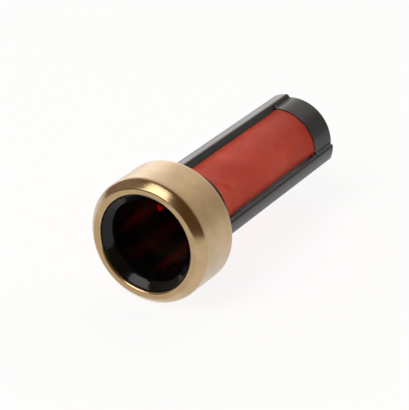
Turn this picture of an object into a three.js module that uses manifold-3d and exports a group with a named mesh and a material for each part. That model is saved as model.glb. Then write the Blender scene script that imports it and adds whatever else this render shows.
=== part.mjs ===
// Push-in basket filter for a liquid inlet bore, made of three pieces: a turned
// brass collar, a moulded plastic cage pressed into it, and a woven mesh sleeve
// that the cage holds between the inner and outer halves of its ribs.
//
// Millimetres, +Z up. The filter lies on its side on the plane z = 0, with its
// axis along +Y. The open mouth faces -Y and the closed end faces +Y. The origin
// is on the plane, below the middle of the filter's length.
//
// Every profile below is a list of (radius, station) points, where the station
// is the distance along the axis from the collar's front face.

import * as THREE from 'three';
import { mergeVertices } from 'three/addons/utils/BufferGeometryUtils.js';
import Module from 'manifold-3d';

const wasm = await Module();
wasm.setup();

// Whole filter
const LENGTH = 14.03;
const FIT_GAP = 0.02;

// Brass collar
const COLLAR_SEGMENTS = 72;
const COLLAR_RADIUS = 3.0;
const COLLAR_LENGTH = 2.66;
const COLLAR_BORE = 2.32;
const CHAMFER_WIDTH = 0.36;
const CHAMFER_DEPTH = 0.42;
const CHAMFER_CROWN = 0.022;
const MOUTH_ROUND = 0.12;
const MOUTH_DEPTH = 0.16;
const REAR_CHAMFER = 0.08;
const GROOVE_DEPTH = 0.12;
const GROOVE_START = 1.05;
const GROOVE_END = 1.75;

// Cage: inlet sleeve and flared mouth
const CAGE_SEGMENTS = 60;
const SLEEVE_FRONT = 0.14;
const SLEEVE_LIP = 0.04;
const THROAT_RADIUS = 1.89;
const THROAT_STATION = 0.46;
const SHOULDER_END = 2.90;
const BEAD_SLOPE = 0.12;

// Cage: basket
const BAND_RADIUS = 1.94;
const BORE_AT_WINDOW = 1.64;
const BORE_AT_CAP = 1.60;
const WINDOW_START = 4.09;
const BORE_WINDOW_START = 3.70;
const WINDOW_END = 12.36;
const CAP_FLOOR = 13.10;
const CAP_ROUND = 0.15;

// Cage: ribs
const RIB_COUNT = 3;
const FIRST_RIB_ANGLE = -19.8;
const RIB_WIDTH = 0.76;
const RIB_WIDTH_IN_BORE = 1.96;
const RIB_RADIUS_FRONT = 2.216;
const RIB_RADIUS_END = 2.166;
const RIB_START = 2.45;
const RIB_END = 13.82;
const RIB_ROUND = 0.13;
const RIB_EDGE_ROUND = 0.10;
const RIB_BAR_INNER = 1.20;

// Mesh sleeve and the slot that holds it
const MESH_OUTER = 1.86;
const MESH_INNER = 1.80;
const MESH_START = 3.48;
const MESH_END = 12.93;
const MESH_MIDDLE = (MESH_INNER + MESH_OUTER) / 2;

const AXIS_HEIGHT = COLLAR_RADIUS * Math.cos(Math.PI / COLLAR_SEGMENTS);

const point = (radius, station) => new THREE.Vector2(radius, station);

// Points of a quarter arc from one corner tangent to the next, ends included.
function roundedCorner(from, corner, to, steps) {
  const curve = [];
  for (let i = 0; i <= steps; i += 1) {
    const turn = (i / steps) * (Math.PI / 2);
    const a = 1 - Math.sin(turn);
    const b = 1 - Math.cos(turn);
    curve.push(new THREE.Vector2(
      corner.x + a * (from.x - corner.x) + b * (to.x - corner.x),
      corner.y + a * (from.y - corner.y) + b * (to.y - corner.y),
    ));
  }
  return curve;
}

// Points of a chamfer from one corner to the other, crowned towards the side that
// lies to the right of the way from the first to the second, ends included.
function crownedChamfer(from, to, crown, steps) {
  const across = to.clone().sub(from);
  const outward = new THREE.Vector2(across.y, -across.x).normalize();
  const curve = [];
  for (let i = 0; i <= steps; i += 1) {
    const t = i / steps;
    const rise = 4 * crown * t * (1 - t);
    curve.push(from.clone().lerp(to, t).addScaledVector(outward, rise));
  }
  return curve;
}

function mergedGeometry(geometry) {
  geometry.deleteAttribute('normal');
  geometry.deleteAttribute('uv');
  return mergeVertices(geometry, 1e-5);
}

function solidFrom(geometry) {
  const merged = mergedGeometry(geometry);
  return new wasm.Manifold(new wasm.Mesh({
    numProp: 3,
    vertProperties: new Float32Array(merged.attributes.position.array),
    triVerts: new Uint32Array(merged.index.array),
  }));
}

function geometryFrom(solid) {
  const mesh = solid.getMesh();
  const geometry = new THREE.BufferGeometry();
  geometry.setAttribute('position', new THREE.BufferAttribute(mesh.vertProperties, 3));
  geometry.setIndex(new THREE.BufferAttribute(mesh.triVerts, 1));
  geometry.computeVertexNormals();
  return geometry;
}

// Revolves a profile, anticlockwise in the (radius, station) plane, about the axis.
// A profile that doesn't start on the axis is closed on itself. The seam lies half
// a step away from +Z, so a flat facet faces straight down.
function revolve(profile, segments) {
  const points = [...profile];
  if (profile[0].x > 0) {
    points.push(profile[0].clone());
  }
  const step = (2 * Math.PI) / segments;
  return new THREE.LatheGeometry(points, segments, step / 2, 2 * Math.PI);
}

// Brass collar: a plain turned ring with a polished, crowned front chamfer, a
// rounded mouth, a lightly broken rear edge and a shallow groove in its bore for
// the cage's bead.
function collarGeometry() {
  const frontChamfer = crownedChamfer(
    point(COLLAR_RADIUS - CHAMFER_WIDTH, 0),
    point(COLLAR_RADIUS, CHAMFER_DEPTH),
    CHAMFER_CROWN,
    4,
  );
  const mouthRound = roundedCorner(
    point(COLLAR_BORE, MOUTH_DEPTH),
    point(COLLAR_BORE, 0),
    point(COLLAR_BORE + MOUTH_ROUND, 0),
    3,
  );
  const groove = COLLAR_BORE + GROOVE_DEPTH;
  return mergedGeometry(revolve([
    ...mouthRound,
    ...frontChamfer,
    point(COLLAR_RADIUS, COLLAR_LENGTH - REAR_CHAMFER),
    point(COLLAR_RADIUS - REAR_CHAMFER, COLLAR_LENGTH),
    point(COLLAR_BORE, COLLAR_LENGTH),
    point(COLLAR_BORE, GROOVE_END),
    point(groove, GROOVE_END - BEAD_SLOPE),
    point(groove, GROOVE_START + BEAD_SLOPE),
    point(COLLAR_BORE, GROOVE_START),
  ], COLLAR_SEGMENTS));
}

// Inlet end of the cage: the sleeve inside the collar, its flared mouth, the bead
// in the collar's groove and the band that runs to the windows. The windows start
// sooner in the bore than on the outside, and the step is in the mesh's slot.
function inletSolid() {
  const sleeve = COLLAR_BORE - FIT_GAP;
  const bead = sleeve + GROOVE_DEPTH;
  return solidFrom(revolve([
    point(THROAT_RADIUS, THROAT_STATION),
    point(sleeve - SLEEVE_LIP, SLEEVE_FRONT),
    point(sleeve, SLEEVE_FRONT + SLEEVE_LIP),
    point(sleeve, GROOVE_START + FIT_GAP),
    point(bead, GROOVE_START + BEAD_SLOPE + FIT_GAP),
    point(bead, GROOVE_END - BEAD_SLOPE - FIT_GAP),
    point(sleeve, GROOVE_END - FIT_GAP),
    point(sleeve, COLLAR_LENGTH),
    point(BAND_RADIUS, SHOULDER_END),
    point(BAND_RADIUS, WINDOW_START),
    point(MESH_MIDDLE, WINDOW_START),
    point(MESH_MIDDLE, BORE_WINDOW_START),
    point(BORE_AT_WINDOW, BORE_WINDOW_START),
  ], CAGE_SEGMENTS));
}

// Closed end of the cage: a round cap with a short blind bore.
function capSolid() {
  const edgeRound = roundedCorner(
    point(BAND_RADIUS, LENGTH - CAP_ROUND),
    point(BAND_RADIUS, LENGTH),
    point(BAND_RADIUS - CAP_ROUND, LENGTH),
    3,
  );
  return solidFrom(revolve([
    point(0, CAP_FLOOR),
    point(BORE_AT_CAP, CAP_FLOOR),
    point(BORE_AT_CAP, WINDOW_END),
    point(BAND_RADIUS, WINDOW_END),
    ...edgeRound,
    point(0, LENGTH),
  ], CAGE_SEGMENTS));
}

// Tube that every rib is cut from: the cage's drafted bore inside, and the
// ribs' drafted outer faces with a rounded far end outside.
function ribEnvelope() {
  const endRound = roundedCorner(
    point(RIB_RADIUS_END, RIB_END - RIB_ROUND),
    point(RIB_RADIUS_END, RIB_END),
    point(RIB_RADIUS_END - RIB_ROUND, RIB_END),
    3,
  );
  return solidFrom(revolve([
    point(BORE_AT_CAP, RIB_END),
    point(BORE_AT_CAP, WINDOW_END),
    point(BORE_AT_WINDOW, BORE_WINDOW_START),
    point(THROAT_RADIUS, RIB_START),
    point(RIB_RADIUS_FRONT, RIB_START),
    ...endRound,
  ], CAGE_SEGMENTS * 2));
}

// One rib: a straight bar with rounded outer edges and a wider inner half behind
// the mesh, trimmed by the envelope. The step between them is in the mesh's slot.
function ribSolid(angle, envelope) {
  const half = RIB_WIDTH / 2;
  const halfInBore = RIB_WIDTH_IN_BORE / 2;
  const heightAt = (radius, side) => Math.sqrt(radius ** 2 - side ** 2);
  const outer = RIB_RADIUS_FRONT;
  const shoulder = outer - RIB_EDGE_ROUND;
  const section = new THREE.Shape();
  section.moveTo(-halfInBore, RIB_BAR_INNER);
  section.lineTo(halfInBore, RIB_BAR_INNER);
  section.lineTo(halfInBore, heightAt(MESH_MIDDLE, halfInBore));
  section.lineTo(half, heightAt(MESH_MIDDLE, half));
  section.lineTo(half, shoulder);
  section.absarc(half - RIB_EDGE_ROUND, shoulder, RIB_EDGE_ROUND, 0, Math.PI / 2, false);
  section.lineTo(-half + RIB_EDGE_ROUND, outer);
  section.absarc(-half + RIB_EDGE_ROUND, shoulder, RIB_EDGE_ROUND, Math.PI / 2, Math.PI, false);
  section.lineTo(-half, heightAt(MESH_MIDDLE, half));
  section.lineTo(-halfInBore, heightAt(MESH_MIDDLE, halfInBore));
  section.lineTo(-halfInBore, RIB_BAR_INNER);
  const bar = new THREE.ExtrudeGeometry(section, {
    depth: RIB_END - RIB_START,
    bevelEnabled: false,
    curveSegments: 3,
  });
  bar.rotateX(Math.PI / 2);
  bar.translate(0, RIB_END, 0);
  bar.rotateY(THREE.MathUtils.degToRad(angle));
  return solidFrom(bar).intersect(envelope);
}

function slotSolid() {
  return solidFrom(revolve([
    point(MESH_INNER - FIT_GAP, MESH_START - FIT_GAP),
    point(MESH_OUTER + FIT_GAP, MESH_START - FIT_GAP),
    point(MESH_OUTER + FIT_GAP, MESH_END + FIT_GAP),
    point(MESH_INNER - FIT_GAP, MESH_END + FIT_GAP),
  ], CAGE_SEGMENTS));
}

function cageGeometry() {
  const envelope = ribEnvelope();
  let cage = inletSolid().add(capSolid());
  for (let i = 0; i < RIB_COUNT; i += 1) {
    cage = cage.add(ribSolid(FIRST_RIB_ANGLE + (360 * i) / RIB_COUNT, envelope));
  }
  return geometryFrom(cage.subtract(slotSolid()));
}

function meshGeometry() {
  return mergedGeometry(revolve([
    point(MESH_INNER, MESH_START),
    point(MESH_OUTER, MESH_START),
    point(MESH_OUTER, MESH_END),
    point(MESH_INNER, MESH_END),
  ], CAGE_SEGMENTS));
}

const materials = {
  brass: new THREE.MeshStandardMaterial({ color: 0xba9d74, roughness: 0.32, metalness: 1.0 }),
  plastic: new THREE.MeshStandardMaterial({ color: 0x24211f, roughness: 0.28, metalness: 0.0 }),
  mesh: new THREE.MeshStandardMaterial({ color: 0xaa3e30, roughness: 0.75, metalness: 0.0 }),
};

const filter = new THREE.Group();
filter.name = 'basket_filter';
filter.position.set(0, -LENGTH / 2, AXIS_HEIGHT);

function addPiece(name, geometry, material) {
  const piece = new THREE.Mesh(geometry, material);
  piece.name = name;
  filter.add(piece);
}

addPiece('brass_collar', collarGeometry(), materials.brass);
addPiece('filter_cage', cageGeometry(), materials.plastic);
addPiece('mesh_sleeve', meshGeometry(), materials.mesh);

export default filter;
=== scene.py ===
import math

import bpy
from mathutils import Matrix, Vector


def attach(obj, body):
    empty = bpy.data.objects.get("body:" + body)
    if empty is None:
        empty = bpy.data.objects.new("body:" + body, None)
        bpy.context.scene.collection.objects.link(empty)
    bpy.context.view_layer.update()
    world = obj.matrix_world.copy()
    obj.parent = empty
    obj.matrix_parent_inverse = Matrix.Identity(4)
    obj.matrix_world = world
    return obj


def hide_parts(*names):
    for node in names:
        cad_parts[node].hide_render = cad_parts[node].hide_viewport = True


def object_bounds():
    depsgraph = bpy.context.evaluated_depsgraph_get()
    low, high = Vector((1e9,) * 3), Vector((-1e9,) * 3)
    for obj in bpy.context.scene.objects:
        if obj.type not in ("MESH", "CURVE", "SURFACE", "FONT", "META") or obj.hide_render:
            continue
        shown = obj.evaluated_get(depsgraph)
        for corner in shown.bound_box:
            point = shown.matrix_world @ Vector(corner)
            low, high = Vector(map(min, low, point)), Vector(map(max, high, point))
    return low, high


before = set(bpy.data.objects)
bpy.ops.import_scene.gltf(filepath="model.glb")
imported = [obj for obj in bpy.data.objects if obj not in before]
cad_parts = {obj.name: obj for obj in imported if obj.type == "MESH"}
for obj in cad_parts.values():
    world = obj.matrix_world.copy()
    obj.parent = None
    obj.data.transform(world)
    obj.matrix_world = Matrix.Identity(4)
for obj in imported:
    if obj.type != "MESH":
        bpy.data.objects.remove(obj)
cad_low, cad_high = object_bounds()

# A push-in basket filter: brass collar, black moulded cage and red woven sleeve.
# It lies on its side with its axis along +Y and its open mouth towards -Y.
# The object's sizes are in millimetres, and MM turns them into the frame's metres.
# A radius is measured from the axis, and a station from the collar's front face.

MM = 0.001

MOUTH_Y = cad_low.y
AXIS_Z = (cad_low.z + cad_high.z) / 2
LENGTH = (cad_high.y - cad_low.y) / MM

# Brass collar
COLLAR_RADIUS = (cad_high.z - cad_low.z) / 2 / MM
COLLAR_LENGTH = 2.66
COLLAR_BORE = 2.32
COLLAR_SEGMENTS = 288
CHAMFER_WIDTH = 0.36
CHAMFER_DEPTH = 0.42
CHAMFER_CROWN = 0.022
CHAMFER_INNER_EDGE = 0.06
CHAMFER_OUTER_EDGE = 0.10
CHAMFER_STEPS = 16
WALL_STATIONS = (0.6, 1.0, 1.5, 2.0, 2.4)
MOUTH_ROUND = 0.12
MOUTH_DEPTH = 0.16
REAR_EDGE = 0.09
REAR_FACE_RING = 2.65
GROOVE_DEPTH = 0.12
GROOVE_START = 1.05
GROOVE_END = 1.75
GROOVE_SLOPE = 0.12

# Cage: the sleeve is the part inside the collar, and the band is the plain tube
# behind it, which the windows are cut through.
FIT_GAP = 0.004
SLEEVE_RADIUS = COLLAR_BORE - FIT_GAP
SLEEVE_FRONT = 0.14
SLEEVE_LIP = 0.03
SLEEVE_LIP_FLAT = 0.005
THROAT_RADIUS = 1.89
THROAT_STATION = 0.46
THROAT_ROUND = 0.20
SHOULDER_END = 2.90
BAND_RADIUS = 1.94
BORE_AT_WINDOW = 1.64
BORE_AT_CAP = 1.60
CAP_FLOOR = 13.10
CAP_FLOOR_ROUND = 0.12
CAP_ROUND = 0.15
CAGE_BEVEL = 0.022

# Windows: they start further forward on the inside, behind the cloth.
WINDOW_START = 4.09
BORE_WINDOW_START = 3.70
WINDOW_END = 12.36
WINDOW_CORNER = 0.30

# Ribs: their foot is a fillet, as distances from the rib's side and shares of its height.
RIB_COUNT = 3
RIB_PITCH = 2 * math.pi / RIB_COUNT
FIRST_RIB_ANGLE = math.radians(-19.8)
RIB_HALF_WIDTH = 0.38
RIB_HALF_WIDTH_IN_BORE = 0.98
LEDGE_HALF_WIDTH = 0.41
RIB_RADIUS_FRONT = 2.216
RIB_RADIUS_END = 2.166
RIB_START_MARGIN = 0.25
RIB_END = 13.82
RIB_END_ROUND = 0.13
RIB_END_CURVE = 2.4
RIB_TOP_COLUMNS = (0.0, 0.09, 0.18)
RIB_EDGE_ROUND = 0.11
RIB_EDGE_DROP = 0.42
RIB_EDGE_TURN = math.radians(80)
RIB_EDGE_STEPS = 5
RIB_SIDE_LEAN = 0.01
RIB_SIDE_HEIGHT = 0.38
RIB_FOOT = [(0.012, 0.20), (0.035, 0.09), (0.075, 0.025), (0.12, 0.0)]
RIB_FOOT_WIDTH = RIB_FOOT[-1][0]

# The grid of the cage's skin: rows and columns that no edge of the shape sets.
FLOOR_ROW_RADII = (0.5, 1.0, 1.35)
END_ROW_RADII = (1.6, 1.2, 0.6)
BORE_TAPER_STEPS = 8
FLARE_ROW_SHARES = (0.3, 0.5, 0.7, 0.9, 0.98)
SLEEVE_ROW_MARGIN = 0.1
SHOULDER_STEPS = 12
BAND_ROW_STATIONS = (3.2, 3.6, 4.0)
WINDOW_ROW_STATIONS = (5.5, 7.0, 8.4, 9.8, 11.2)
WINDOW_EDGE_ROWS = (0.0, 0.03, 0.07, 0.12, 0.20, 0.30)
WINDOW_MARGIN = 0.02
WINDOW_COLUMNS = 22
WINDOW_EDGE_SHARE = 0.07
WINDOW_WALL_STEPS = 4
CAP_ROW_STATIONS = (12.6, 12.9, 13.2, 13.5)
RIB_END_SPAN = 0.15
RIB_END_STEPS = 10

# Woven sleeve
CLOTH_OUTER = 1.86
CLOTH_INNER = 1.80
CLOTH_START = 3.50
CLOTH_END = 12.90
CLOTH_AROUND = 288
CLOTH_ALONG = 260
FOLD_HEIGHT = 0.010
# Soft folds: share of the height, waves along in radians a mm and round, and phase.
FOLDS = [
    (1.0, 2.1, 3, 0.0),
    (0.7, 3.3, -4, 1.3),
    (0.5, 5.2, 7, 0.4),
]
# How far the cloth rises towards the band, and over what length, at a window's end.
CLOTH_RISE = 0.045
CLOTH_RISE_LENGTH = 0.7

# The one crease near the collar: its middle, its length and width, and its height.
CREASE_ANGLE = math.radians(46)
CREASE_STATION = 4.88
CREASE_LENGTH = 0.55
CREASE_WIDTH = 0.17
CREASE_HEIGHT = 0.040

# Brass: tones are colours by the level of a soft noise, lower on the flat front face, where the darker
# tone is painted shade that stands for the dimmer reflection that face shows.
# The polish of the chamfer and the rear edge fades out between two stations.
TURNING_MARKS_PER_MM = 26.0
TURNING_DRIFT = 0.9
SATIN_ROUGHNESS = 0.26
SATIN_MARKS = 0.16
POLISH = 0.60
FRONT_POLISH_FADE = (CHAMFER_DEPTH - 0.02, CHAMFER_DEPTH + 0.03)
REAR_POLISH_FADE = (COLLAR_LENGTH - REAR_EDGE - 0.02, COLLAR_LENGTH - REAR_EDGE + 0.02)
FRONT_FACE_DEPTH = 0.03
FRONT_FACE_SHADE = -0.20
BRASS_TONES = [
    (0.28, (0.43, 0.275, 0.135)),
    (0.42, (0.44, 0.318, 0.150)),
    (0.58, (0.50, 0.340, 0.190)),
    (0.74, (0.51, 0.375, 0.195)),
]

# Plastic: the first two tones are for the cage's outside, and the others for its bore, where they are
# lighter and warmer as painted light that stands for the dim light inside it.
PLASTIC_SMOOTH = 0.16
PLASTIC_ROUGH = 0.24
BORE_LIGHT_FULL_RADIUS = 1.70
BORE_LIGHT_END_RADIUS = 1.80
PLASTIC_AND_BORE_LIGHT_TONES = [
    (0.15, (0.0018, 0.0018, 0.002)),
    (0.35, (0.0038, 0.0034, 0.0034)),
    (0.65, (0.024, 0.016, 0.011)),
    (0.85, (0.030, 0.020, 0.014)),
]

# Cloth: it grows darker towards the closed end.
WEAVE_PITCH = 0.07
CLOUD_STRETCH = 2.0
DARKENING_START = 9.0
DARKENING_TONE = -0.35
CLOTH_TONES = [
    (0.0, (0.47, 0.036, 0.014)),
    (0.32, (0.60, 0.046, 0.015)),
    (0.68, (0.82, 0.086, 0.034)),
]

# Stage, in metres: the floor glows, and the room's walls are dark brown, and lit in places.
FLOOR_HALF_WIDTH = 1.0
FLOOR_COLOR = (0.15, 0.15, 0.15, 1.0)
FLOOR_GLOW = 0.88
ROOM_COLOR = (0.135, 0.078, 0.032)
# Lit parts of the walls: azimuth, elevation, how far from that direction the light
# starts and how near it is full, in degrees, and its level.
LIT_WALLS = [
    (-5, 12, 80, 42, 0.52),
    (-40, 0, 36, 12, 1.35),
    (-12, 38, 34, 12, 0.44),
    (-105, 25, 34, 10, 0.20),
    (0, 16, 18, 6, 0.70),
]
# Softboxes: azimuth and elevation in degrees, width, height and level.
SOFTBOXES = [
    (-162, 48, 0.36, 0.54, 3.2),
]
SOFTBOX_DISTANCE = 0.6

# Camera: its place in millimetres from a point near the mouth, and its angles in degrees.
# The nearest and farthest distances that it sees are in metres.
CAMERA_LENS = 228.4
CAMERA_SENSOR = 36.0
CAMERA_BASE_STATION = 0.07
CAMERA_OFFSET = (54.64, -87.54, 50.88)
CAMERA_DOWN = 25.397
CAMERA_TURN = 30.51
CAMERA_NEAREST = 0.005
CAMERA_FARTHEST = 5.0


def at(radius, angle, station):
    """The point at that radius, angle from +Z towards +X, and station, in metres."""
    return Vector((
        radius * math.sin(angle) * MM,
        MOUTH_Y + station * MM,
        AXIS_Z + radius * math.cos(angle) * MM,
    ))


def arc(start, corner, end, steps):
    """Points of a quarter round from start to end, tangent to the lines to corner."""
    points = []
    for i in range(steps + 1):
        turn = i / steps * math.pi / 2
        a = 1 - math.sin(turn)
        b = 1 - math.cos(turn)
        points.append((
            corner[0] + a * (start[0] - corner[0]) + b * (end[0] - corner[0]),
            corner[1] + a * (start[1] - corner[1]) + b * (end[1] - corner[1]),
        ))
    return points


def smooth_step(share):
    """Eases a share from 0 to 1."""
    return share * share * (3 - 2 * share)


def clamp(value):
    """The nearest number to the value from 0 to 1."""
    return min(max(value, 0.0), 1.0)


def new_object(name, vertices, faces):
    mesh = bpy.data.meshes.new(name)
    mesh.from_pydata(vertices, [], faces)
    mesh.validate()
    mesh.update()
    piece = bpy.data.objects.new(name, mesh)
    bpy.context.scene.collection.objects.link(piece)
    for polygon in mesh.polygons:
        polygon.use_smooth = True
    return piece


def sharpen(piece, degrees):
    """Marks the edges that turn by more than that angle as sharp."""
    piece.data.set_sharp_from_angle(angle=math.radians(degrees))


# ---------------------------------------------------------------- collar

def crowned_chamfer(start, end):
    """Points of the front edge: a chamfer with a slight crown and small edge rounds."""
    across, along = end[0] - start[0], end[1] - start[1]
    width = math.hypot(across, along)

    def on_crown(t):
        rise = 4 * CHAMFER_CROWN * t * (1 - t) / width
        return (start[0] + t * across + rise * along, start[1] + t * along - rise * across)

    near = CHAMFER_INNER_EDGE / width
    far = CHAMFER_OUTER_EDGE / width
    inner = arc((start[0] - CHAMFER_INNER_EDGE, start[1]), start, on_crown(near), steps=5)
    middle = [on_crown(near + (1 - near - far) * i / CHAMFER_STEPS) for i in range(1, CHAMFER_STEPS)]
    outer = arc(on_crown(1 - far), end, (end[0], end[1] + CHAMFER_OUTER_EDGE), steps=8)
    return inner + middle + outer


def collar_profile():
    """(radius, station) round the ring's section, from the mouth outwards."""
    profile = arc((COLLAR_BORE, MOUTH_DEPTH), (COLLAR_BORE, 0), (COLLAR_BORE + MOUTH_ROUND, 0), steps=12)
    profile += crowned_chamfer((COLLAR_RADIUS - CHAMFER_WIDTH, 0), (COLLAR_RADIUS, CHAMFER_DEPTH))
    profile += [(COLLAR_RADIUS, station) for station in WALL_STATIONS]
    profile += arc((COLLAR_RADIUS, COLLAR_LENGTH - REAR_EDGE), (COLLAR_RADIUS, COLLAR_LENGTH),
                   (COLLAR_RADIUS - REAR_EDGE, COLLAR_LENGTH), steps=8)
    groove = COLLAR_BORE + GROOVE_DEPTH
    return profile + [
        (REAR_FACE_RING, COLLAR_LENGTH),
        (COLLAR_BORE, COLLAR_LENGTH),
        (COLLAR_BORE, GROOVE_END),
        (groove, GROOVE_END - GROOVE_SLOPE),
        (groove, GROOVE_START + GROOVE_SLOPE),
        (COLLAR_BORE, GROOVE_START),
    ]


def make_collar():
    profile = collar_profile()
    count = len(profile)
    vertices = []
    for i in range(COLLAR_SEGMENTS):
        angle = 2 * math.pi * i / COLLAR_SEGMENTS
        vertices += [at(radius, angle, station) for radius, station in profile]
    faces = []
    for i in range(COLLAR_SEGMENTS):
        j = (i + 1) % COLLAR_SEGMENTS
        for k in range(count):
            m = (k + 1) % count
            faces.append((i * count + k, i * count + m, j * count + m, j * count + k))
    collar = new_object("collar", vertices, faces)
    sharpen(collar, degrees=28)
    return collar


# ---------------------------------------------------------------- cage
# The cage's skin is a grid. Its rows are rings that run from the middle of the
# bore's floor out through the mouth and back along the outside to the middle of
# the end face. Its columns run round the axis, and are the same in each third.

def rib_section():
    """One side of a rib's cross-section, from its middle outwards: distance from the
    rib's middle plane, and height as a share of the rib's full height."""
    section = [(across, 1.0) for across in RIB_TOP_COLUMNS]
    edge_start = RIB_HALF_WIDTH - RIB_SIDE_LEAN - RIB_EDGE_ROUND
    for i in range(RIB_EDGE_STEPS + 1):
        turn = i / RIB_EDGE_STEPS * RIB_EDGE_TURN
        section.append((edge_start + RIB_EDGE_ROUND * math.sin(turn),
                        1.0 - RIB_EDGE_DROP * (1 - math.cos(turn))))
    section.append((RIB_HALF_WIDTH, RIB_SIDE_HEIGHT))
    return section


def third_of_cage():
    """The columns from one rib's middle to the next, and the numbers of the two on the
    window's rims. A rib or foot column holds its distance from the rib's middle plane
    and its share of the rib's height. A window column holds its share of the way across."""
    section = rib_section()
    right = [("rib", across, height) for across, height in section]
    right += [("foot", RIB_HALF_WIDTH + across, height) for across, height in RIB_FOOT]
    left = [(kind, -across, height) for kind, across, height in right[:0:-1]]
    edge = WINDOW_EDGE_SHARE
    shares = [edge + (1 - 2 * edge) * i / WINDOW_COLUMNS for i in range(WINDOW_COLUMNS + 1)]
    window = [("window", share, 0.0) for share in (edge / 2, *shares, 1 - edge / 2)]
    first_rim = len(section) - 1
    last_rim = len(right) + len(window) + len(RIB_FOOT)
    return right + window + left, first_rim, last_rim


def rib_height(station):
    """The rib's height over the band, in mm, at that station."""
    share = clamp((station - SHOULDER_END) / (RIB_END - SHOULDER_END))
    top = RIB_RADIUS_FRONT + share * (RIB_RADIUS_END - RIB_RADIUS_FRONT)
    into = clamp((station - (RIB_END - RIB_END_ROUND)) / RIB_END_ROUND)
    return (top - BAND_RADIUS) * math.sqrt(1 - into ** RIB_END_CURVE)


def window_stations(start):
    """Stations from a window's start to its end, close together near both."""
    first = [start + distance for distance in WINDOW_EDGE_ROWS]
    last = [WINDOW_END - distance for distance in WINDOW_EDGE_ROWS[::-1]]
    return [*first, *WINDOW_ROW_STATIONS, *last]


def bore_rows():
    """Rows from the bore's floor to the mouth's edge: (radius, station)."""
    rows = arc((BORE_AT_CAP - CAP_FLOOR_ROUND, CAP_FLOOR), (BORE_AT_CAP, CAP_FLOOR),
               (BORE_AT_CAP, CAP_FLOOR - CAP_FLOOR_ROUND), steps=4)
    for station in window_stations(BORE_WINDOW_START)[::-1]:
        share = (station - BORE_WINDOW_START) / (WINDOW_END - BORE_WINDOW_START)
        rows.append((BORE_AT_WINDOW + share * (BORE_AT_CAP - BORE_AT_WINDOW), station))

    def toward_throat(share):
        return (BORE_AT_WINDOW + share * (THROAT_RADIUS - BORE_AT_WINDOW),
                BORE_WINDOW_START + share * (THROAT_STATION - BORE_WINDOW_START))

    mouth_radius = SLEEVE_RADIUS - SLEEVE_LIP
    flare = math.hypot(mouth_radius - THROAT_RADIUS, SLEEVE_FRONT - THROAT_STATION)

    def up_flare(distance):
        share = distance / flare
        return (THROAT_RADIUS + share * (mouth_radius - THROAT_RADIUS),
                THROAT_STATION + share * (SLEEVE_FRONT - THROAT_STATION))

    round_share = THROAT_ROUND / (BORE_WINDOW_START - THROAT_STATION)
    rows += [toward_throat(i / BORE_TAPER_STEPS) for i in range(1, BORE_TAPER_STEPS)]
    rows += arc(toward_throat(1 - round_share), toward_throat(1), up_flare(THROAT_ROUND), steps=8)
    rows += [up_flare(flare * share) for share in FLARE_ROW_SHARES]
    return rows


def sleeve_rows():
    """Rows inside the collar, with the bead that fits its groove: (radius, station)."""
    bead = SLEEVE_RADIUS + GROOVE_DEPTH
    lip = arc((SLEEVE_RADIUS - SLEEVE_LIP + SLEEVE_LIP_FLAT, SLEEVE_FRONT), (SLEEVE_RADIUS, SLEEVE_FRONT),
              (SLEEVE_RADIUS, SLEEVE_FRONT + SLEEVE_LIP), steps=4)
    return lip + [
        (SLEEVE_RADIUS, GROOVE_START + FIT_GAP),
        (bead, GROOVE_START + GROOVE_SLOPE + FIT_GAP),
        (bead, GROOVE_END - GROOVE_SLOPE - FIT_GAP),
        (SLEEVE_RADIUS, GROOVE_END - FIT_GAP),
        (SLEEVE_RADIUS, COLLAR_LENGTH - SLEEVE_ROW_MARGIN),
    ]


def outside_rows():
    """Rows from the collar's rear face to the end face: (radius, station)."""
    rows = []
    for i in range(SHOULDER_STEPS + 1):
        share = i / SHOULDER_STEPS
        rows.append((SLEEVE_RADIUS - (SLEEVE_RADIUS - BAND_RADIUS) * smooth_step(share),
                     COLLAR_LENGTH + share * (SHOULDER_END - COLLAR_LENGTH)))
    stations = [*BAND_ROW_STATIONS, WINDOW_START - WINDOW_MARGIN]
    stations += window_stations(WINDOW_START)
    stations += [WINDOW_END + WINDOW_MARGIN, *CAP_ROW_STATIONS]
    stations += [RIB_END - RIB_END_SPAN * (1 - i / RIB_END_STEPS) for i in range(RIB_END_STEPS + 1)]
    rows += [(BAND_RADIUS, station) for station in stations]
    rows += arc((BAND_RADIUS, LENGTH - CAP_ROUND), (BAND_RADIUS, LENGTH),
                (BAND_RADIUS - CAP_ROUND, LENGTH), steps=8)
    rows += [(radius, LENGTH) for radius in END_ROW_RADII]
    return rows


def cage_rows():
    """(radius, station, side) of each row."""
    rows = [(radius, CAP_FLOOR, "floor") for radius in FLOOR_ROW_RADII]
    rows += [(*row, "bore") for row in bore_rows()]
    rows += [(*row, "sleeve") for row in sleeve_rows()]
    rows += [(*row, "outside") for row in outside_rows()]
    return rows


def window_rows(rows, side, start):
    """The numbers of the rows that cross the windows on that side."""
    return [i for i, row in enumerate(rows) if row[2] == side and start <= row[1] <= WINDOW_END]


def place(radius, station, half, column, rise=0.0):
    """(radius, angle, station) of a column's point, where the ribs have that half width
    and stand that high over the band."""
    kind, across, height = column
    reach = max(radius, BORE_AT_CAP)
    if kind == "window":
        start = math.asin((half + RIB_FOOT_WIDTH) / reach)
        return radius, start + across * (RIB_PITCH - 2 * start), station
    inside = min(abs(across), RIB_HALF_WIDTH) * half / RIB_HALF_WIDTH
    beyond = max(abs(across) - RIB_HALF_WIDTH, 0)
    angle = math.asin((inside + beyond) / reach)
    top = max(radius, BAND_RADIUS + rise * height) if rise > 0 else radius
    return top, angle if across >= 0 else RIB_PITCH - angle, station


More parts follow.
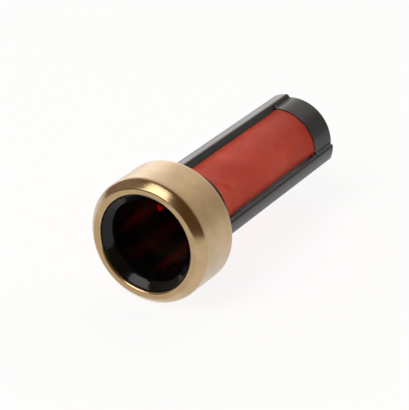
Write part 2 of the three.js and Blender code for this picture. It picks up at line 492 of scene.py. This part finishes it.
def on_rim(spot, half, start):
    """Moves a point of a window's rim onto the window's round corner, if it is in one."""
    radius, angle, station = spot
    rim = math.asin(half / radius)
    x = radius * (angle - rim)
    y = station - start
    width = radius * (RIB_PITCH - 2 * rim)
    height = WINDOW_END - start
    near_x = min(max(x, WINDOW_CORNER), width - WINDOW_CORNER)
    near_y = min(max(y, WINDOW_CORNER), height - WINDOW_CORNER)
    if near_x == x or near_y == y:
        return spot
    scale = WINDOW_CORNER / math.hypot(x - near_x, y - near_y)
    x = near_x + (x - near_x) * scale
    y = near_y + (y - near_y) * scale
    return radius, rim + x / radius, start + y


def cage_point(part, spot):
    """The point in that third of the cage, in metres."""
    radius, angle, station = spot
    return at(radius, FIRST_RIB_ANGLE + part * RIB_PITCH + angle, station)


def cage_skin(rows, inner, outer, third, first_rim, last_rim):
    """The skin's vertices, its faces, and the vertex number of each (row, column).
    inner and outer are the rows that cross the windows, which are left open."""
    columns = len(third) * RIB_COUNT
    vertices = []
    faces = []
    index = {}
    for i, (radius, station, side) in enumerate(rows):
        half = RIB_HALF_WIDTH_IN_BORE if side in ("floor", "bore") else RIB_HALF_WIDTH
        start = BORE_WINDOW_START if side == "bore" else WINDOW_START
        has_rib = side == "outside" and SHOULDER_END - RIB_START_MARGIN < station < RIB_END
        rise = rib_height(station) if has_rib else 0.0
        for c in range(columns):
            part, k = divmod(c, len(third))
            if (i in inner[1:-1] or i in outer[1:-1]) and first_rim < k < last_rim:
                continue
            if (i in inner or i in outer) and first_rim <= k <= last_rim:
                spot = on_rim(place(radius, station, half, third[k]), half, start)
            else:
                spot = place(radius, station, half, third[k], rise)
            index[i, c] = len(vertices)
            vertices.append(cage_point(part, spot))
    for i in range(len(rows) - 1):
        open_row = i in inner[:-1] or i in outer[:-1]
        for c in range(columns):
            if open_row and first_rim <= c % len(third) < last_rim:
                continue
            d = (c + 1) % columns
            faces.append((index[i, c], index[i + 1, c], index[i + 1, d], index[i, d]))
    return vertices, faces, index


def close_middles(vertices, faces, index, last_row, columns):
    """Closes the bore's floor and the end face with a fan round each one's middle."""
    for row, station in ((0, CAP_FLOOR), (last_row, LENGTH)):
        middle = len(vertices)
        vertices.append(at(0, 0, station))
        for c in range(columns):
            pair = (index[row, c], index[row, (c + 1) % columns])
            faces.append((middle, *(pair if row == 0 else pair[::-1])))


def window_walls(vertices, faces, index, inner, outer, third, first_rim, last_rim):
    """The windows' walls: in from the outside to the cloth, along it to the wider ribs
    behind it, and in to the bore."""
    last = len(outer) - 1
    round_trip = ([(n, first_rim) for n in range(last)]
                  + [(last, k) for k in range(first_rim, last_rim)]
                  + [(n, last_rim) for n in range(last, 0, -1)]
                  + [(0, k) for k in range(last_rim, first_rim, -1)])
    cloth_middle = (CLOTH_OUTER + CLOTH_INNER) / 2
    for part in range(RIB_COUNT):
        first = part * len(third)
        rings = [[index[outer[n], first + k] for n, k in round_trip]]
        for i in range(WINDOW_WALL_STEPS + 1):
            share = i / WINDOW_WALL_STEPS
            half = LEDGE_HALF_WIDTH + share * (RIB_HALF_WIDTH_IN_BORE - LEDGE_HALF_WIDTH)
            start = WINDOW_START + share * (BORE_WINDOW_START - WINDOW_START)
            stations = window_stations(start)
            ring = []
            for n, k in round_trip:
                spot = on_rim(place(cloth_middle, stations[n], half, third[k]), half, start)
                ring.append(len(vertices))
                vertices.append(cage_point(part, spot))
            rings.append(ring)
        rings.append([index[inner[last - n], first + k] for n, k in round_trip])
        for ring, deeper in zip(rings, rings[1:]):
            for m in range(len(round_trip)):
                after = (m + 1) % len(round_trip)
                faces.append((ring[m], ring[after], deeper[after], deeper[m]))


def make_cage():
    third, first_rim, last_rim = third_of_cage()
    rows = cage_rows()
    inner = window_rows(rows, "bore", BORE_WINDOW_START)
    outer = window_rows(rows, "outside", WINDOW_START)
    vertices, faces, index = cage_skin(rows, inner, outer, third, first_rim, last_rim)
    close_middles(vertices, faces, index, len(rows) - 1, len(third) * RIB_COUNT)
    window_walls(vertices, faces, index, inner, outer, third, first_rim, last_rim)
    cage = new_object("cage", vertices, faces)
    bevel = cage.modifiers.new("edge_round", "BEVEL")
    bevel.width = CAGE_BEVEL * MM
    bevel.segments = 2
    bevel.limit_method = "ANGLE"
    bevel.angle_limit = math.radians(40)
    bevel.harden_normals = False
    sharpen(cage, degrees=60)
    return cage


# ---------------------------------------------------------------- cloth sleeve

def cloth_wave(angle, station):
    """How far the cloth's soft folds stand proud of a true cylinder, in mm."""
    from_rib = (angle - FIRST_RIB_ANGLE) % RIB_PITCH
    across = math.sin(from_rib * RIB_COUNT / 2)
    share = clamp((station - WINDOW_START) / (WINDOW_END - WINDOW_START))
    hold = across * math.sqrt(math.sin(math.pi * share))
    folds = sum(level * math.sin(along * station + around * angle + phase)
                for level, along, around, phase in FOLDS)
    return hold * FOLD_HEIGHT * folds


def crease(angle, station):
    """How far the diagonal crease stands proud, in mm."""
    around = CLOTH_OUTER * (angle - CREASE_ANGLE)
    along = station - CREASE_STATION
    across_line = (along - around) / math.sqrt(2)
    along_line = (along + around) / math.sqrt(2)
    fade = math.exp(-(across_line / CREASE_WIDTH) ** 2 - (along_line / CREASE_LENGTH) ** 2)
    return CREASE_HEIGHT * fade


def cloth_rise(station):
    """How far the cloth rises towards the band at the windows' ends, in mm."""
    inside = min(station - WINDOW_START, WINDOW_END - station)
    return CLOTH_RISE * smooth_step(clamp(1 - inside / CLOTH_RISE_LENGTH))


def make_cloth():
    vertices = []
    for surface in (CLOTH_OUTER, CLOTH_INNER):
        for i in range(CLOTH_ALONG + 1):
            station = CLOTH_START + i / CLOTH_ALONG * (CLOTH_END - CLOTH_START)
            for j in range(CLOTH_AROUND):
                angle = 2 * math.pi * j / CLOTH_AROUND
                proud = cloth_wave(angle, station) + cloth_rise(station) + crease(angle, station)
                vertices.append(at(surface + proud, angle, station))
    faces = []
    inside = len(vertices) // 2
    end = CLOTH_ALONG * CLOTH_AROUND
    for row in range(0, end, CLOTH_AROUND):
        after = row + CLOTH_AROUND
        for j in range(CLOTH_AROUND):
            k = (j + 1) % CLOTH_AROUND
            faces.append((row + j, after + j, after + k, row + k))
            faces.append((inside + row + j, inside + row + k, inside + after + k, inside + after + j))
    for j in range(CLOTH_AROUND):
        k = (j + 1) % CLOTH_AROUND
        faces.append((j, k, inside + k, inside + j))
        faces.append((end + k, end + j, inside + end + j, inside + end + k))
    return new_object("woven_sleeve", vertices, faces)


# ---------------------------------------------------------------- materials

def new_material(name):
    """A new material, its node tree and its shader."""
    material = bpy.data.materials.new(name)
    material.use_nodes = True
    return material, material.node_tree, material.node_tree.nodes["Principled BSDF"]


def feed(tree, socket, value):
    """Gives an input a number, or links an output to it."""
    if isinstance(value, (int, float)):
        socket.default_value = value
    else:
        tree.links.new(value, socket)


def math_node(tree, operation, *values):
    node = tree.nodes.new("ShaderNodeMath")
    node.operation = operation
    for socket, value in zip(node.inputs, values):
        feed(tree, socket, value)
    return node.outputs[0]


def combine(tree, x, y, z):
    node = tree.nodes.new("ShaderNodeCombineXYZ")
    for socket, value in zip(node.inputs, (x, y, z)):
        feed(tree, socket, value)
    return node.outputs[0]


def cylinder_coordinates(tree):
    """Outputs with the angle, radius and station of the shaded point, in radians and mm."""
    coordinates = tree.nodes.new("ShaderNodeTexCoord")
    parts = tree.nodes.new("ShaderNodeSeparateXYZ")
    tree.links.new(coordinates.outputs["Object"], parts.inputs[0])
    x = math_node(tree, "MULTIPLY", parts.outputs["X"], 1 / MM)
    z = math_node(tree, "MULTIPLY_ADD", parts.outputs["Z"], 1 / MM, -AXIS_Z / MM)
    station = math_node(tree, "MULTIPLY_ADD", parts.outputs["Y"], 1 / MM, -MOUTH_Y / MM)
    angle = math_node(tree, "ARCTAN2", x, z)
    x_squared = math_node(tree, "MULTIPLY", x, x)
    z_squared = math_node(tree, "MULTIPLY", z, z)
    radius = math_node(tree, "SQRT", math_node(tree, "ADD", x_squared, z_squared))
    return angle, radius, station


def round_space(tree, angle, radius, along):
    """A vector of the point across the axis and that value, in mm, with no seam in angle."""
    cos_angle = math_node(tree, "COSINE", angle)
    sin_angle = math_node(tree, "SINE", angle)
    return combine(tree, math_node(tree, "MULTIPLY", cos_angle, radius),
                   math_node(tree, "MULTIPLY", sin_angle, radius), along)


def noise(tree, vector, scale, detail=2.0, roughness=0.5):
    node = tree.nodes.new("ShaderNodeTexNoise")
    node.inputs["Scale"].default_value = scale
    node.inputs["Detail"].default_value = detail
    node.inputs["Roughness"].default_value = roughness
    tree.links.new(vector, node.inputs["Vector"])
    return node.outputs["Fac"]


def ramp(tree, value, stops):
    node = tree.nodes.new("ShaderNodeValToRGB")
    elements = node.color_ramp.elements
    while len(elements) < len(stops):
        elements.new(0.5)
    for element, (position, color) in zip(elements, stops):
        element.position = position
        element.color = (*color, 1.0)
    tree.links.new(value, node.inputs[0])
    return node.outputs[0]


def between(tree, value, low, high, to_low, to_high):
    """Maps low to high onto to_low to to_high, with eased ends."""
    node = tree.nodes.new("ShaderNodeMapRange")
    node.interpolation_type = "SMOOTHSTEP"
    for socket, number in zip(node.inputs[1:5], (low, high, to_low, to_high)):
        socket.default_value = number
    tree.links.new(value, node.inputs[0])
    return node.outputs[0]


def bump(tree, height, strength, distance):
    """A normal from a height, with its distance in mm."""
    node = tree.nodes.new("ShaderNodeBump")
    node.inputs["Strength"].default_value = strength
    node.inputs["Distance"].default_value = distance * MM
    tree.links.new(height, node.inputs["Height"])
    return node.outputs[0]


def brass_material():
    material, tree, shader = new_material("turned_brass")
    angle, radius, station = cylinder_coordinates(tree)
    # Turning marks: fine rings that change slowly round the collar.
    sin_drift = math_node(tree, "MULTIPLY", math_node(tree, "SINE", angle), TURNING_DRIFT)
    drift = math_node(tree, "MULTIPLY_ADD", math_node(tree, "COSINE", angle), TURNING_DRIFT, sin_drift)
    rings = combine(tree, math_node(tree, "MULTIPLY", station, TURNING_MARKS_PER_MM),
                    math_node(tree, "MULTIPLY", radius, TURNING_MARKS_PER_MM), drift)
    marks = noise(tree, rings, scale=1.0, detail=3.0, roughness=0.6)
    vector = round_space(tree, angle, radius, station)
    clouds = noise(tree, vector, scale=1.1, detail=4.0, roughness=0.6)
    # The flat front face is painted darker: painted shade for its dimmer reflection.
    front = between(tree, station, 0.0, FRONT_FACE_DEPTH, FRONT_FACE_SHADE, 0.0)
    tone = math_node(tree, "ADD", clouds, front)
    tree.links.new(ramp(tree, tone, BRASS_TONES), shader.inputs["Base Color"])
    shader.inputs["Metallic"].default_value = 1.0
    shader.inputs["Coat Weight"].default_value = 0.60
    shader.inputs["Coat Roughness"].default_value = 0.30
    # The chamfer and the rear edge are more polished than the outer wall.
    front_polish = between(tree, station, *FRONT_POLISH_FADE, POLISH, 1.0)
    rear_polish = between(tree, station, *REAR_POLISH_FADE, 1.0, POLISH)
    polish = math_node(tree, "MULTIPLY", front_polish, rear_polish)
    satin = math_node(tree, "MULTIPLY_ADD", marks, SATIN_MARKS, SATIN_ROUGHNESS)
    tree.links.new(math_node(tree, "MULTIPLY", satin, polish), shader.inputs["Roughness"])
    height = math_node(tree, "MULTIPLY", marks, polish)
    tree.links.new(bump(tree, height, strength=0.25, distance=0.02), shader.inputs["Normal"])
    return material


def plastic_material(name, specular, roughness_share):
    """The cage's plastic, with that specular level and share of its usual roughness."""
    material, tree, shader = new_material(name)
    angle, radius, station = cylinder_coordinates(tree)
    vector = round_space(tree, angle, radius, station)
    # The outside takes the lower half of the tones, and the bore the upper half, whose lighter tones are
    # painted light.
    clouds = noise(tree, vector, scale=2.2, detail=3.0)
    bore_painted_light = between(tree, radius, BORE_LIGHT_FULL_RADIUS, BORE_LIGHT_END_RADIUS, 0.5, 0.0)
    tone = math_node(tree, "MULTIPLY_ADD", clouds, 0.5, bore_painted_light)
    tree.links.new(ramp(tree, tone, PLASTIC_AND_BORE_LIGHT_TONES), shader.inputs["Base Color"])
    shader.inputs["Specular IOR Level"].default_value = specular
    smooth, rough = PLASTIC_SMOOTH * roughness_share, PLASTIC_ROUGH * roughness_share
    tree.links.new(between(tree, clouds, 0.3, 0.7, smooth, rough), shader.inputs["Roughness"])
    dimples = noise(tree, vector, scale=7.0)
    tree.links.new(bump(tree, dimples, strength=0.10, distance=0.02), shader.inputs["Normal"])
    return material


def cloth_material():
    material, tree, shader = new_material("woven_cloth")
    angle, radius, station = cylinder_coordinates(tree)
    threads = round(2 * math.pi * CLOTH_OUTER / WEAVE_PITCH)
    warp = math_node(tree, "SINE", math_node(tree, "MULTIPLY", angle, threads))
    weft = math_node(tree, "SINE", math_node(tree, "MULTIPLY", station, 2 * math.pi / WEAVE_PITCH))
    weave = math_node(tree, "MULTIPLY", warp, weft)
    # Clouds of tone, drawn out along the axis, and darker towards the closed end.
    along = math_node(tree, "MULTIPLY", station, 1 / CLOUD_STRETCH)
    clouds = noise(tree, round_space(tree, angle, radius, along), scale=0.8)
    end_darkening = between(tree, station, DARKENING_START, WINDOW_END, 0.0, DARKENING_TONE)
    tone = math_node(tree, "ADD", clouds, end_darkening)
    tree.links.new(ramp(tree, tone, CLOTH_TONES), shader.inputs["Base Color"])
    shader.inputs["Roughness"].default_value = 0.45
    shader.inputs["Specular IOR Level"].default_value = 0.20
    shader.inputs["Subsurface Weight"].default_value = 0.9
    shader.inputs["Subsurface Radius"].default_value = (1.0, 0.40, 0.30)
    shader.inputs["Subsurface Scale"].default_value = 0.2 * MM
    tree.links.new(bump(tree, weave, strength=0.35, distance=0.02), shader.inputs["Normal"])
    return material


# ---------------------------------------------------------------- stage

def toward(azimuth, elevation):
    """The unit vector at that azimuth, from +Y towards +X, and elevation, in degrees."""
    a, e = math.radians(azimuth), math.radians(elevation)
    return Vector((math.sin(a) * math.cos(e), math.cos(a) * math.cos(e), math.sin(e)))


def floor_material():
    material, _, shader = new_material("pale_floor")
    shader.inputs["Base Color"].default_value = FLOOR_COLOR
    shader.inputs["Roughness"].default_value = 0.9
    shader.inputs["Specular IOR Level"].default_value = 0.0
    shader.inputs["Emission Color"].default_value = (1.0, 1.0, 1.0, 1.0)
    shader.inputs["Emission Strength"].default_value = FLOOR_GLOW
    return material


def make_floor():
    corners = [(-1, -1), (1, -1), (1, 1), (-1, 1)]
    vertices = [(x * FLOOR_HALF_WIDTH, y * FLOOR_HALF_WIDTH, cad_low.z) for x, y in corners]
    floor = new_object("floor", vertices, [(0, 1, 2, 3)])
    floor.data.materials.append(floor_material())


def make_world():
    world = bpy.data.worlds.new("studio")
    world.use_nodes = True
    bpy.context.scene.world = world
    tree = world.node_tree
    coordinates = tree.nodes.new("ShaderNodeTexCoord")
    level = 0.0
    for azimuth, elevation, start, full, brightness in LIT_WALLS:
        dot = tree.nodes.new("ShaderNodeVectorMath")
        dot.operation = "DOT_PRODUCT"
        tree.links.new(coordinates.outputs["Generated"], dot.inputs[0])
        dot.inputs[1].default_value = toward(azimuth, elevation)
        patch = between(tree, dot.outputs["Value"], math.cos(math.radians(start)),
                        math.cos(math.radians(full)), 0.0, brightness)
        level = math_node(tree, "ADD", patch, level)
    channels = [math_node(tree, "ADD", level, channel) for channel in ROOM_COLOR]
    tree.links.new(combine(tree, *channels), tree.nodes["Background"].inputs["Color"])


def make_softboxes():
    for number, (azimuth, elevation, width, height, level) in enumerate(SOFTBOXES):
        light = bpy.data.lights.new(f"softbox_{number}", "AREA")
        light.shape = "RECTANGLE"
        light.size = width
        light.size_y = height
        light.energy = level * math.pi * width * height
        softbox = bpy.data.objects.new(light.name, light)
        direction = toward(azimuth, elevation)
        softbox.location = Vector((0, 0, AXIS_Z)) + direction * SOFTBOX_DISTANCE
        softbox.rotation_euler = direction.to_track_quat("Z", "Y").to_euler()
        bpy.context.scene.collection.objects.link(softbox)


def make_camera():
    data = bpy.data.cameras.new("camera")
    data.sensor_width = CAMERA_SENSOR
    data.lens = CAMERA_LENS
    data.clip_start = CAMERA_NEAREST
    data.clip_end = CAMERA_FARTHEST
    camera = bpy.data.objects.new("camera", data)
    camera.location = at(0, 0, CAMERA_BASE_STATION) + Vector(CAMERA_OFFSET) * MM
    camera.rotation_euler = (math.radians(90 - CAMERA_DOWN), 0, math.radians(CAMERA_TURN))
    bpy.context.scene.collection.objects.link(camera)
    bpy.context.scene.camera = camera


# ---------------------------------------------------------------- pieces

def dress(piece, node, material):
    """Gives a piece its material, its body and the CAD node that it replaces."""
    piece.data.materials.append(material)
    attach(piece, "root")
    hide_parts(node)


def dress_cage(cage):
    """The flare of the mouth is smoother and duller than the rest of the cage."""
    moulded = plastic_material("moulded_plastic", specular=0.36, roughness_share=1.0)
    dress(cage, "filter_cage", moulded)
    mouth = plastic_material("mouth_plastic", specular=0.27, roughness_share=0.6)
    cage.data.materials.append(mouth)
    for polygon in cage.data.polygons:
        middle = polygon.center
        radius = math.hypot(middle.x, middle.z - AXIS_Z) / MM
        station = (middle.y - MOUTH_Y) / MM
        if station < THROAT_STATION and radius < SLEEVE_RADIUS - SLEEVE_LIP:
            polygon.material_index = 1


make_camera()
make_world()
make_softboxes()
make_floor()
dress(make_collar(), "brass_collar", brass_material())
dress_cage(make_cage())
dress(make_cloth(), "mesh_sleeve", cloth_material())

bpy.context.scene.view_settings.view_transform = "Standard"
